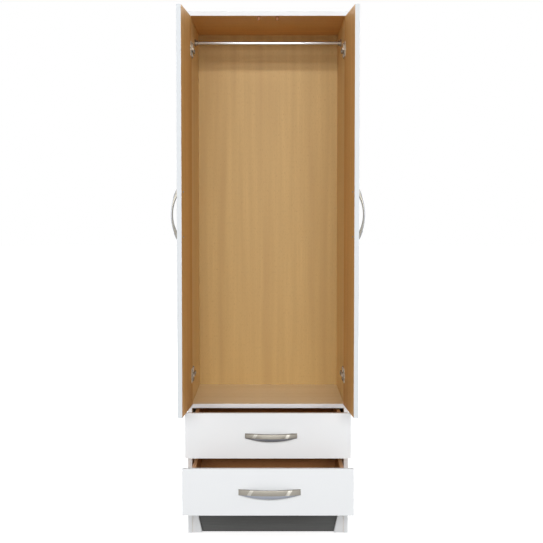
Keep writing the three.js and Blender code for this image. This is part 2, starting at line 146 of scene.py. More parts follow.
@dataclass(frozen=True)
class Streaks:
    """Noise drawn out along the grain: its marks' width and length, and which part of it shows."""

    width: float
    length: float
    detail: float = 2.0
    low: float = 0.3
    high: float = 0.7
    fineness: float = 0.55

    def value(self, tree: bpy.types.NodeTree, grain: Grain) -> bpy.types.NodeSocket:
        """Add the noise and give its value.

        Args:
            tree: the material's node tree.
            grain: the axis that the marks run along.

        Returns:
            A socket that runs from 0 to 1.
        """
        scale = [1 / self.width] * 3
        scale[grain.value] = 1 / self.length
        place = add_node(tree, "ShaderNodeTexCoord").outputs["Object"]
        drawn = add_node(tree, "ShaderNodeMapping", {"Vector": place, "Scale": scale})
        inputs = {"Vector": drawn.outputs[0], "Scale": 1.0}
        inputs |= {"Detail": self.detail, "Roughness": self.fineness}
        noise = add_node(tree, "ShaderNodeTexNoise", inputs).outputs[0]
        inputs = {"Value": noise, "From Min": self.low, "From Max": self.high}
        return add_node(tree, "ShaderNodeMapRange", inputs).outputs["Result"]


def blend(tree: bpy.types.NodeTree, share: bpy.types.NodeSocket, first: tuple | bpy.types.NodeSocket,
          second: tuple | bpy.types.NodeSocket) -> bpy.types.NodeSocket:
    """Mix two colours.

    Args:
        tree: the material's node tree.
        share: how much of the second colour shows.
        first: a linear colour or a colour socket.
        second: a linear colour or a colour socket.

    Returns:
        The mixed colour.
    """
    mix = add_node(tree, "ShaderNodeMix", {0: share, 6: first, 7: second}, data_type="RGBA")
    return mix.outputs[2]


def looks_along(tree: bpy.types.NodeTree, direction: Vector) -> bpy.types.NodeSocket:
    """Tell the faces that look along a direction from all others.

    Args:
        tree: the material's node tree.
        direction: the direction in the object's own axes.

    Returns:
        A socket of 1 on those faces and 0 elsewhere, eased edges included.
    """
    normal = add_node(tree, "ShaderNodeTexCoord").outputs["Normal"]
    turn = add_node(tree, "ShaderNodeVectorMath", {0: normal, 1: direction}, operation="DOT_PRODUCT")
    inputs = {0: turn.outputs["Value"], 1: ALONG}
    return add_node(tree, "ShaderNodeMath", inputs, operation="GREATER_THAN").outputs[0]


# Finishes


@dataclass(frozen=True)
class BeechPrint:
    """Beech effect paper, printed with straight grain, slow pale bands and short dark flecks."""

    pale: str = "#CAA976"
    deep: str = "#B89566"
    fleck: str = "#AD8A5D"
    bands: Streaks = Streaks(34 * MM, 900 * MM)
    lines: Streaks = Streaks(2.2 * MM, 260 * MM, low=0.35, high=1.2)
    # Real flecks are half as wide; these are as coarse as they need to be to show
    flecks: Streaks = Streaks(1.3 * MM, 11 * MM, 0.0, 0.62, 0.8)

    def colour(self, tree: bpy.types.NodeTree, grain: Grain) -> bpy.types.NodeSocket:
        """Draw the print.

        Args:
            tree: the material's node tree.
            grain: the axis that the grain runs along.

        Returns:
            The print's colour.
        """
        ground = blend(tree, self.bands.value(tree, grain), linear(self.pale), linear(self.deep))
        lined = blend(tree, self.lines.value(tree, grain), ground, linear(self.deep))
        return blend(tree, self.flecks.value(tree, grain), lined, linear(self.fleck))


@dataclass(frozen=True)
class Finish:
    """What every finish has: two close tones that drift into each other, a gloss and a fine relief."""

    name: str
    tone: str = "#EAECEE"
    deep: str = "#E8EAEC"
    roughness: float = 0.5
    metallic: float = 0.0
    ior: float = 1.5
    grain: Grain = Grain.UPRIGHT
    drift: Streaks = Streaks(160 * MM, 160 * MM)
    marks: Streaks = Streaks(1.4 * MM, 1.4 * MM, 1.0)
    relief: float = 0.012 * MM
    relief_strength: float = 0.5

    def colour(self, tree: bpy.types.NodeTree) -> bpy.types.NodeSocket:
        """Give the colour of the surface."""
        return blend(tree, self.drift.value(tree, self.grain), linear(self.tone), linear(self.deep))

    def dryness(self, tree: bpy.types.NodeTree) -> float | bpy.types.NodeSocket:
        """Give the roughness of the surface."""
        return self.roughness

    def shader(self, tree: bpy.types.NodeTree) -> bpy.types.NodeSocket:
        """Add the shaded surface.

        Args:
            tree: the material's node tree.

        Returns:
            The shader's output.
        """
        height = self.marks.value(tree, self.grain)
        inputs = {"Height": height, "Strength": self.relief_strength, "Distance": self.relief}
        bump = add_node(tree, "ShaderNodeBump", inputs)
        inputs = {
            "Base Color": self.colour(tree),
            "Roughness": self.dryness(tree),
            "Metallic": self.metallic,
            "IOR": self.ior,
            "Normal": bump.outputs[0],
        }
        return add_node(tree, "ShaderNodeBsdfPrincipled", inputs).outputs[0]

    def material(self) -> bpy.types.Material:
        """Make the material.

        Returns:
            A new node material.
        """
        material = bpy.data.materials.new(self.name)
        material.use_nodes = True
        tree = material.node_tree
        tree.nodes.clear()
        add_node(tree, "ShaderNodeOutputMaterial", {"Surface": self.shader(tree)})
        return material


@dataclass(frozen=True)
class FacedBoard(Finish):
    """Melamine faced chipboard: an even white, beech print with its own gloss inside, and edging."""

    inward: tuple[Vector, ...] = ()
    pattern: BeechPrint = BeechPrint()
    print_roughness: float = 0.5
    edging: str = "#EAECEE"
    outward: Vector = UPWARDS

    def colour(self, tree: bpy.types.NodeTree) -> bpy.types.NodeSocket:
        """Give the edging, white on the outward face, and the print on the inward faces."""
        colour = blend(tree, looks_along(tree, self.outward), linear(self.edging), super().colour(tree))
        for direction in self.inward:
            pattern = self.pattern.colour(tree, self.grain)
            colour = blend(tree, looks_along(tree, direction), colour, pattern)
        return colour

    def dryness(self, tree: bpy.types.NodeTree) -> float | bpy.types.NodeSocket:
        """Give the roughness, which differs on the inward faces."""
        roughness = self.roughness
        for direction in self.inward:
            change = self.print_roughness - self.roughness
            inputs = {0: looks_along(tree, direction), 1: change, 2: roughness}
            roughness = add_node(tree, "ShaderNodeMath", inputs, operation="MULTIPLY_ADD").outputs[0]
        return roughness


@dataclass(frozen=True)
class FoiledBoard(Finish):
    """Chipboard wrapped in printed foil: drier than melamine, with short open pores along the grain."""

    pattern: BeechPrint = BeechPrint()
    roughness: float = 0.5
    marks: Streaks = Streaks(0.9 * MM, 14 * MM, 1.0)
    relief: float = 0.02 * MM

    def colour(self, tree: bpy.types.NodeTree) -> bpy.types.NodeSocket:
        """Give the print."""
        return self.pattern.colour(tree, self.grain)


@dataclass(frozen=True)
class Hardboard(FoiledBoard):
    """Pressed fibre sheet: print on one face, and raw brown fibres with a sieve mark on the other."""

    tone: str = "#8A6642"
    deep: str = "#6E4F31"
    printed: Vector = -REARWARDS
    drift: Streaks = Streaks(3 * MM, 9 * MM, 4.0)
    raw_roughness: float = 0.85
    sieve_pitch: float = 2.5 * MM
    sieve_depth: float = 0.1 * MM
    sieve_strength: float = 0.3
    sieve_drift: float = 0.15

    def shader(self, tree: bpy.types.NodeTree) -> bpy.types.NodeSocket:
        """Add the printed face and the raw one, told apart by which way a face looks.

        Args:
            tree: the material's node tree.

        Returns:
            The shader's output.
        """
        place = add_node(tree, "ShaderNodeTexCoord").outputs["Object"]
        drawn = add_node(tree, "ShaderNodeMapping", {"Vector": place, "Scale": [1 / self.sieve_pitch] * 3})
        inputs = {"Vector": drawn.outputs[0], "Scale": 1.0, "Randomness": self.sieve_drift}
        sieve = add_node(tree, "ShaderNodeTexVoronoi", inputs)
        inputs = {"Height": sieve.outputs[0], "Strength": self.sieve_strength, "Distance": self.sieve_depth}
        bump = add_node(tree, "ShaderNodeBump", inputs).outputs[0]
        colour = Finish.colour(self, tree)
        inputs = {"Base Color": colour, "Roughness": self.raw_roughness, "IOR": self.ior, "Normal": bump}
        raw = add_node(tree, "ShaderNodeBsdfPrincipled", inputs).outputs[0]
        inputs = {0: looks_along(tree, self.printed), 1: raw, 2: super().shader(tree)}
        return add_node(tree, "ShaderNodeMixShader", inputs).outputs[0]


@dataclass(frozen=True)
class DarkMelamine(Finish):
    """Grey melamine whose dark tone is painted shade under the wardrobe's base: dry and even, with a faint
    streak along the plinth.
    """

    name: str = "dark_grey_melamine"
    tone: str = "#525352"
    deep: str = "#4B4C4B"
    roughness: float = 0.6
    grain: Grain = Grain.ACROSS
    drift: Streaks = Streaks(3 * MM, 120 * MM)


@dataclass(frozen=True)
class Metal(Finish):
    """Bare or plated metal: a mirror made softer by marks that run one way."""

    metallic: float = 1.0
    roughness: float = 0.3
    drift: Streaks = Streaks(0.35 * MM, 20 * MM)
    marks: Streaks = Streaks(0.35 * MM, 20 * MM)
    relief: float = 0.004 * MM


@dataclass(frozen=True)
class BrushedNickel(Metal):
    """Zinc casting, brushed along its length and nickel plated: a warm grey with a silky streak."""

    name: str = "brushed_nickel"
    tone: str = "#928E86"
    deep: str = "#827E75"
    roughness: float = 0.42


@dataclass(frozen=True)
class PlatedNickel(Metal):
    """The same casting on the down-facing crescent facet: cooler, darker and more even, a tone that is
    painted shade and reflection.
    """

    name: str = "plated_nickel"
    tone: str = "#969AA2"
    deep: str = "#8A8E97"
    roughness: float = 0.6


@dataclass(frozen=True)
class PolishedNickel(Metal):
    """The slanted steps, in a lighter tone than the face: a painted highlight."""

    name: str = "polished_nickel"
    tone: str = "#B0ADA5"
    deep: str = "#A29F97"
    roughness: float = 0.4


@dataclass(frozen=True)
class PressedSteel(Metal):
    """Pressed steel with thin nickel plating: grey, a little cloudy, with no direction of its own."""

    name: str = "nickel_plated_steel"
    tone: str = "#8E8D88"
    deep: str = "#7C7B76"
    roughness: float = 0.38
    drift: Streaks = Streaks(4 * MM, 6 * MM)
    marks: Streaks = Streaks(0.5 * MM, 3 * MM)


@dataclass(frozen=True)
class ChromedTube(Metal):
    """Drawn tube, chromed over a satin ground: light, a touch blue, with hairlines along it."""

    name: str = "satin_chromed_tube"
    tone: str = "#E0EAF0"
    deep: str = "#D6E0E7"
    roughness: float = 0.34
    grain: Grain = Grain.ACROSS
    drift: Streaks = Streaks(0.4 * MM, 40 * MM)


@dataclass(frozen=True)
class EpoxyCoat(Finish):
    """Rolled steel with a white epoxy powder coat: a fine orange peel under a half gloss."""

    name: str = "white_epoxy_coat"
    tone: str = "#E4E4E0"
    deep: str = "#DDDDD8"
    drift: Streaks = Streaks(18 * MM, 18 * MM)
    marks: Streaks = Streaks(0.8 * MM, 0.8 * MM)


@dataclass(frozen=True)
class MouldedNylon(EpoxyCoat):
    """Injection moulded nylon: milky, with a soft waxy gloss."""

    name: str = "white_nylon"
    tone: str = "#EEEEEA"
    deep: str = "#E6E6E1"
    roughness: float = 0.45


@dataclass(frozen=True)
class CopperPlastic(EpoxyCoat):
    """Moulded copper brown plastic of the door stops: plain, with a dull skin."""

    name: str = "copper_brown_plastic"
    tone: str = "#9A6238"
    deep: str = "#8D5930"
    roughness: float = 0.5


# Modelling


def clear_bench() -> None:
    """Close the open mesh, if there is one, and deselect everything."""
    if bpy.context.mode != "OBJECT":
        bpy.ops.object.mode_set(mode="OBJECT")
    bpy.ops.object.select_all(action="DESELECT")


class Workpiece:
    """One mesh on the bench, shaped by the steps that a hand would take."""

    def __init__(self, name: str) -> None:
        """Take the selected object and put its place into its mesh.

        Args:
            name: the piece's name.
        """
        self.object = bpy.context.active_object
        self.object.name = name
        self.object.data.name = name
        bpy.ops.object.transform_apply(location=True, rotation=True, scale=True)

    @classmethod
    def block(cls, name: str, low: Vector, high: Vector) -> "Workpiece":
        """Start from a cube between two corners.

        Args:
            name: the piece's name.
            low: its lowest corner.
            high: its highest corner.

        Returns:
            The new workpiece.
        """
        clear_bench()
        bpy.ops.mesh.primitive_cube_add(size=1.0, location=(low + high) / 2, scale=high - low)
        return cls(name)

    @classmethod
    def round_bar(cls, name: str, start: Vector, end: Vector, radius: float,
                  sides: int = 32) -> "Workpiece":
        """Start from a cylinder between two points.

        Args:
            name: the piece's name.
            start: the middle of one end.
            end: the middle of the other end.
            radius: its radius.
            sides: its number of sides.

        Returns:
            The new workpiece.
        """
        span = end - start
        turn = span.to_track_quat("Z", "Y").to_euler()
        clear_bench()
        bpy.ops.mesh.primitive_cylinder_add(vertices=sides, radius=radius, depth=span.length,
                                            location=(start + end) / 2, rotation=turn)
        return cls(name)

    def pick(self) -> "Workpiece":
        """Close the mesh and select this object alone."""
        clear_bench()
        self.object.select_set(True)
        bpy.context.view_layer.objects.active = self.object
        return self

    def select(self, part: Part, test: Callable[..., bool]) -> "Workpiece":
        """Open the mesh and select the parts that pass a test.

        Args:
            part: vertices, edges or faces.
            test: told a vertex's place, an edge's two ends, or a face's middle and normal.

        Returns:
            The workpiece.
        """
        if self.object.mode != "EDIT":
            self.pick()
            bpy.ops.object.mode_set(mode="EDIT")
        bpy.ops.mesh.select_mode(type=part.value)
        bpy.ops.mesh.select_all(action="DESELECT")
        mesh = bmesh.from_edit_mesh(self.object.data)
        told = {
            Part.VERT: [(vert, (vert.co,)) for vert in mesh.verts],
            Part.EDGE: [(edge, (edge.verts[0].co, edge.verts[1].co)) for edge in mesh.edges],
            Part.FACE: [(face, (face.calc_center_median(), face.normal)) for face in mesh.faces],
        }
        for item, facts in told[part]:
            item.select_set(test(*facts))
        mesh.select_flush_mode()
        bmesh.update_edit_mesh(self.object.data)
        return self

    def everything(self) -> "Workpiece":
        """Select the whole mesh."""
        return self.select(Part.VERT, lambda place: True)

    def shift(self, offset: Vector) -> "Workpiece":
        """Move the selection."""
        bpy.ops.transform.translate(value=offset)
        return self

    def inset(self, width: float) -> "Workpiece":
        """Inset the selected faces."""
        bpy.ops.mesh.inset(thickness=width, use_even_offset=True)
        return self

    def extrude(self, offset: Vector) -> "Workpiece":
        """Extrude the selected faces along an offset."""
        bpy.ops.mesh.extrude_region_move(TRANSFORM_OT_translate={"value": offset})
        return self

    def bevel(self, width: float, segments: int = 2) -> "Workpiece":
        """Bevel the selected edges."""
        bpy.ops.mesh.bevel(offset=width, segments=segments, affect="EDGES", clamp_overlap=True)
        return self

    def cut(self, point: Vector, normal: Vector) -> "Workpiece":
        """Cut a loop round the whole mesh where a plane crosses it."""
        self.everything()
        bpy.ops.mesh.bisect(plane_co=point, plane_no=normal)
        return self

    def modify(self, kind: str, **settings) -> "Workpiece":
        """Add a modifier and apply it.

        Args:
            kind: the modifier's type.
            settings: its attributes.

        Returns:
            The workpiece.
        """
        self.pick()
        modifier = self.object.modifiers.new(kind.lower(), kind)
        for name, value in settings.items():
            setattr(modifier, name, value)
        bpy.ops.object.modifier_apply(modifier=modifier.name)
        return self

    def combine(self, operation: str, *tools: "Workpiece") -> "Workpiece":
        """Cut other workpieces out of this one, or fuse them to it, and put them away.

        Args:
            operation: DIFFERENCE or UNION.
            tools: the other workpieces.

        Returns:
            The workpiece.
        """
        for tool in tools:
            tool.pick()
            self.modify("BOOLEAN", operation=operation, solver="EXACT", object=tool.object)
            tool.discard()
        return self

    def mend(self) -> "Workpiece":
        """Merge doubled vertices and turn all faces outwards."""
        self.everything()
        bpy.ops.mesh.remove_doubles(threshold=DOUBLED)
        bpy.ops.mesh.normals_make_consistent(inside=False)
        return self

    def discard(self) -> None:
        """Take the workpiece off the bench."""
        bpy.data.objects.remove(self.object)

    def round_edges(self, width: float, segments: int = 2, angle: float = CREASE) -> "Workpiece":
        """Round every edge sharper than an angle and shade the rest smooth.

        Args:
            width: width of the round.
            segments: its number of steps.
            angle: the angle.

        Returns:
            The workpiece.
        """
        self.modify("BEVEL", width=width, segments=segments, limit_method="ANGLE", angle_limit=angle)
        bpy.ops.object.shade_smooth_by_angle(angle=angle)
        return self

    def twin(self, name: str, place: Matrix) -> "Workpiece":
        """Copy the piece with its own mesh.

        Args:
            name: the copy's name.
            place: how the copy lies from where the original lies.

        Returns:
            The copy, with its faces outwards also where the place is a mirror image.
        """
        self.pick()
        bpy.ops.object.duplicate(linked=False)
        bpy.context.active_object.matrix_world = place
        copy = Workpiece(name)
        if place.determinant() < 0:
            copy.everything()
            bpy.ops.mesh.normals_make_consistent(inside=False)
        return copy.pick()

    def spread(self, name: str, places: list[Matrix]) -> "Workpiece":
        """Copy the piece to each place, join the copies and put the original away.

        Args:
            name: the joined piece's name.
            places: how each copy lies from where the original lies.

        Returns:
            The joined workpiece.
        """
        copies = [self.twin(f"{name}_{number}", place) for number, place in enumerate(places)]
        clear_bench()
        for copy in copies:
            copy.object.select_set(True)
        bpy.ops.object.join()
        self.discard()
        return Workpiece(name)

    def paint(self, materials: list[bpy.types.Material],
              choose: Callable[[Vector, Vector], int]) -> "Workpiece":
        """Give each face one of several materials.

        Args:
            materials: the materials.
            choose: told a face's middle and normal, gives the material's number.

        Returns:
            The workpiece.
        """
        self.pick()
        self.object.data.materials.clear()
        for material in materials:
            self.object.data.materials.append(material)
        for face in self.object.data.polygons:
            face.material_index = choose(face.center, face.normal)
        return self

    def dress(self, material: bpy.types.Material) -> "Workpiece":
        """Give the whole piece one material."""
        return self.paint([material], lambda middle, normal: 0)

    def seat(self, body: str, slot: str, *nodes: str) -> None:
        """Put the finished piece on its body.

        Args:
            body: the body that it rides on.
            slot: the record's material slot, which is not used.
            nodes: the CAD nodes that it stands for.
        """
        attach(self.object, body)
        if nodes:
            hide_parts(*nodes)
        faces = len(self.object.data.polygons)
        log.info("%s rides on %s, %d faces", self.object.name, body, faces)


def ease(node: str, material: bpy.types.Material, width: float) -> None:
    """Give a CAD node its material and a small round on its edges.

    Args:
        node: the CAD node's name.
        material: its finish.
        width: width of the round.
    """
    board = frame["nodes"][node]
    board.data.materials.clear()
    board.data.materials.append(material)
    board.modifiers.new("weld", "WELD").merge_threshold = WELDED
    plain = board.modifiers.new("plain_faces", "DECIMATE")
    plain.decimate_type = "DISSOLVE"
    plain.angle_limit = FLAT
    eased = board.modifiers.new("eased_edge", "BEVEL")
    eased.width = width
    eased.segments = 2
    eased.limit_method = "ANGLE"
    eased.angle_limit = CORNER
    board.modifiers.new("even_shading", "WEIGHTED_NORMAL")
    log.info("%s dressed", node)


def bow(x: float, half_chord: float, base: float, crown: float) -> float:
    """Height of a circular arc over its chord.

    Args:
        x: distance from the middle.
        half_chord: half the chord's length.
        base: height at the chord's ends.
        crown: height in the middle.

    Returns:
        The arc's height at x.
    """
    rise = crown - base
    radius = (half_chord**2 + rise**2) / (2 * rise)
    return crown - radius + math.sqrt(radius**2 - x**2)


def aim(point: Vector, direction: Vector) -> Matrix:
    """Give the place at a point where +Z looks along a direction."""
    return Matrix.Translation(point) @ direction.to_track_quat("Z", "Y").to_matrix().to_4x4()


def joint(name: str) -> dict:
    """Give the frame's joint of that name."""
    return next(row for row in frame["joints"] if row["name"] == name)


def opened(hand: Hand) -> Matrix:
    """Give the turn that takes a closed door to where it rests.

    Args:
        hand: the door's side.

    Returns:
        The turn about its hinge pins.
    """
    hinge = joint(f"{hand.word}_door_hinge")
    pin = Matrix.Translation(Vector(hinge["pos_m"]))
    angle = math.radians(-hinge["range_deg"][0])
    return pin @ Matrix.Rotation(angle, 4, Vector(hinge["axis"])) @ pin.inverted()


def box_before(node: str, turn: Matrix) -> tuple[Vector, Vector]:
    """Corners of a node before it is turned.

    Args:
        node: the CAD node's name.
        turn: the turn that took it to where it rests.

    Returns:
        The lowest and the highest corner.
    """
    points = [turn.inverted() @ vert.co for vert in frame["nodes"][node].data.vertices]
    low, high = ([pick(p[i] for p in points) for i in range(3)] for pick in (min, max))
    return Vector(low), Vector(high)


# Sub-assemblies


@dataclass
class Screws:
    """Pan-head screws with a cross recess, gathered for each body and set when all places are known."""

    radius: float = 3.4 * MM
    height: float = 1.8 * MM
    recess_length: float = 3.8 * MM
    recess_width: float = 0.8 * MM
    recess_depth: float = 1.0 * MM
    sides: int = 20
    crown_share: float = 0.6
    edge_round: float = 0.1 * MM
    places: dict[str, list[Matrix]] = field(default_factory=dict)

    def add(self, body: str, place: Matrix, size: float = 1.0) -> None:
        """Note a place, whose +Z is the way that the head looks."""
        self.places.setdefault(body, []).append(place @ Matrix.Scale(size, 4))

    def head(self) -> Workpiece:
        """Model one head at the origin, looking along +Z.

        Returns:
            The workpiece.
        """
        head = Workpiece.round_bar("screw", Vector(), self.height * UPWARDS, self.radius, self.sides)
        head.select(Part.EDGE, lambda a, b: min(a.z, b.z) > self.height - NEAR)
        head.bevel(self.crown_share * self.height, 3)
        recess = (self.recess_length, self.recess_width)
        for length, width in (recess, reversed(recess)):
            low = Vector((-length / 2, -width / 2, self.height - self.recess_depth))
            high = Vector((length / 2, width / 2, 2 * self.height))
            head.combine("DIFFERENCE", Workpiece.block("recess", low, high))
        return head.round_edges(self.edge_round, 1)

    def build(self) -> None:
        """Set every screw."""
        steel = PressedSteel("plated_screw_steel", tone="#9C9B97", deep="#8B8A86").material()
        for body, places in self.places.items():
            self.head().spread(f"{body}_screws", places).dress(steel).seat(body, "hinge_nickel")


@dataclass(frozen=True)
class BowHandle:
    """A cast bow handle: an upright face over a crescent facet, with slanted steps to its flat ends."""

    name: str
    length: float
    projection: float
    height: float
    face_share: float = 0.62
    strap: float = 5 * MM
    end_thickness: float = 4 * MM
    foot_length: float = 16 * MM
    rings: int = 28
    facet_setback: float = 3.5 * MM
    edge_round: float = 0.7 * MM
    top_round: float = 4.2 * MM
    least_facet: float = 0.08
    crease: float = math.radians(20)
    step_share: float = 0.56
    step_width: float = 12 * MM
    step_depth: float = 1.2 * MM
    step_lean: float = math.radians(32)
    # Least shares of a normal, forwards for a flat end and a step, and down and forwards for the facet
    end_tilt: float = 0.5
    step_tilt: float = 0.3
    facet_tilts: tuple[float, float] = (0.25, 0.2)

    @property
    def half(self) -> float:
        """Half the length."""
        return self.length / 2

    @property
    def face(self) -> float:
        """The upright face's height."""
        return self.height * self.face_share

    @property
    def lean(self) -> Vector:
        """The direction square to a slanted step's edges."""
        return Vector((math.cos(self.step_lean), 0.0, -math.sin(self.step_lean)))

    @property
    def step_reach(self) -> float:
        """A slanted step's width square to its edges."""
        return self.step_width * math.cos(self.step_lean)

    def outer(self, x: float) -> float:
        """How far the grip's outer face stands out at a distance from the middle."""
        return bow(x, self.half, self.end_thickness, self.projection)

    def past_step(self, point: Vector, side: int) -> float:
        """How far a point lies beyond the near edge of a slanted step."""
        return side * (point - side * self.half * self.step_share * RIGHTWARDS).dot(self.lean)

    def build(self, metals: list[bpy.types.Material]) -> Workpiece:
        """Model the handle along X with its feet on the plane y = 0, its grip towards -Y.

        Args:
            metals: the finishes of the face, of the facet and of the steps.

        Returns:
            The workpiece.
        """
        half, face, swell = self.half, self.face, self.height - self.face
        bottom = -face / 2 - swell
        low = Vector((-half, -self.projection, bottom))
        piece = Workpiece.block(self.name, low, Vector((half, 0.0, face / 2)))
        foot_start = half - self.foot_length
        stations = [half * (2 * i / self.rings - 1) for i in range(1, self.rings)]
        stations += [-foot_start, foot_start]
        for x in stations:
            piece.cut(x * RIGHTWARDS, RIGHTWARDS)
        piece.cut(-face / 2 * UPWARDS, UPWARDS)
        for x in [-half, *stations, half]:
            share = max(bow(x, half, 0.0, swell) / swell, self.least_facet)
            back = (self.projection - self.outer(x)) * REARWARDS
            lift = swell * (1 - share) * UPWARDS
            front = NEAR - self.projection
            piece.select(Part.VERT, lambda p: abs(p.x - x) < NEAR and p.z < bottom + NEAR and p.y > -NEAR)
            piece.shift(lift)
            piece.select(Part.VERT, lambda p: abs(p.x - x) < NEAR and p.z < bottom + NEAR and p.y < front)
            piece.shift(back + lift + self.facet_setback * share * REARWARDS)
            piece.select(Part.VERT, lambda p: abs(p.x - x) < NEAR and p.y < front)
            piece.shift(back)
            if abs(x) < foot_start - NEAR:
                piece.select(Part.VERT, lambda p: abs(p.x - x) < NEAR and p.y > -NEAR)
                piece.shift(-bow(x, foot_start, 0.0, self.projection - self.strap) * REARWARDS)
        return self.finish(piece, metals)

    def finish(self, piece: Workpiece, metals: list[bpy.types.Material]) -> Workpiece:
        """Raise the flat ends beyond slanted steps, round the edges and give each face its metal.

        Args:
            piece: the bow.
            metals: the finishes of the face, of the facet and of the steps.

        Returns:
            The workpiece.
        """
        far = self.step_reach + NEAR
        for side in (-1, 1):
            middle = side * self.half * self.step_share
            for edge in (middle, middle + side * self.step_width):
                piece.cut(edge * RIGHTWARDS, self.lean)
            piece.select(Part.FACE, lambda c, n: n.y < -self.end_tilt and c.z > -self.face / 2
                         and self.past_step(c, side) > far)
            piece.shift(-self.step_depth * REARWARDS)
        top = self.face / 2 - NEAR
        piece.select(Part.EDGE, lambda a, b: min(a.z, b.z) > top and abs(a.x - b.x) > NEAR
                     and all(-p.y > self.outer(p.x) - self.strap / 2 for p in (a, b)))
        piece.bevel(self.top_round, 5).mend().round_edges(self.edge_round, 2, self.crease)
        for side in (-1, 1):
            for line in (0.0, self.step_reach):
                piece.select(Part.EDGE, lambda a, b: abs(a.z - b.z) > NEAR
                             and all(abs(self.past_step(p, side) - line) < NEAR for p in (a, b)))
                bpy.ops.mesh.mark_sharp()
        return piece.paint(metals, self.metal_at)

    def metal_at(self, middle: Vector, normal: Vector) -> int:
        """Give the metal of a face: 1 on the crescent facet, with its painted shade, 2 on a slanted step,
        with its painted highlight, and 0 elsewhere.
        """
        down, forwards = self.facet_tilts
        if normal.z < -down and normal.y < -forwards:
            return 1
        stepped = any(0 < self.past_step(middle, side) < self.step_reach for side in (-1, 1))
        return 2 if normal.y < -self.step_tilt and stepped else 0


@dataclass
class Handles:
    """The four bow handles, each held by two screws from behind."""

    screws: Screws

    def build(self) -> None:
        """Model each handle in its node's box and put it on its door or drawer."""
        for level in LEVELS:
            self.fit(f"{level}_drawer", f"{level}_drawer_front", STILL, STILL)
        for hand in Hand:
            upright = Matrix.Rotation(hand.value * math.pi / 2, 4, "Y")
            self.fit(f"{hand.word}_door", f"{hand.word}_door_panel", opened(hand), upright)

    def fit(self, body: str, panel: str, rest: Matrix, turn: Matrix) -> None:
        """Model one handle and take it to its place.

        Args:
            body: the door or drawer.
            panel: the node that the handle is screwed to.
            rest: the turn that takes the closed panel to where it rests.
            turn: the turn that takes a level handle to the closed panel's own.
        """
        box = [turn.inverted() @ corner for corner in box_before(f"{body}_handle", rest)]
        low, high = (Vector([pick(a, b) for a, b in zip(*box)]) for pick in (min, max))
        grain = Grain.ACROSS if turn == STILL else Grain.UPRIGHT
        # The facet's cooler tone is painted shade and reflection
        # The steps' lighter tone is a painted highlight
        kinds = (BrushedNickel, PlatedNickel, PolishedNickel)
        metals = [kind(f"{kind.name}_{grain.name.lower()}", grain=grain).material() for kind in kinds]
        handle = BowHandle(f"{body}_bow_handle", high.x - low.x, high.y - low.y, high.z - low.z)
        centre = Vector(((low.x + high.x) / 2, high.y, high.z - handle.face / 2))
        place = rest @ turn @ Matrix.Translation(centre)
        shape = handle.build(metals)
        shape.object.matrix_world = place
        Workpiece(handle.name).seat(body, "satin_nickel", f"{body}_handle")
        inner = box_before(panel, rest)[1].y - centre.y
        for side in (-1, 1):
            point = Vector((side * (handle.half - handle.foot_length / 2), inner, 0.0))
            self.screws.add(body, place @ aim(point, REARWARDS))


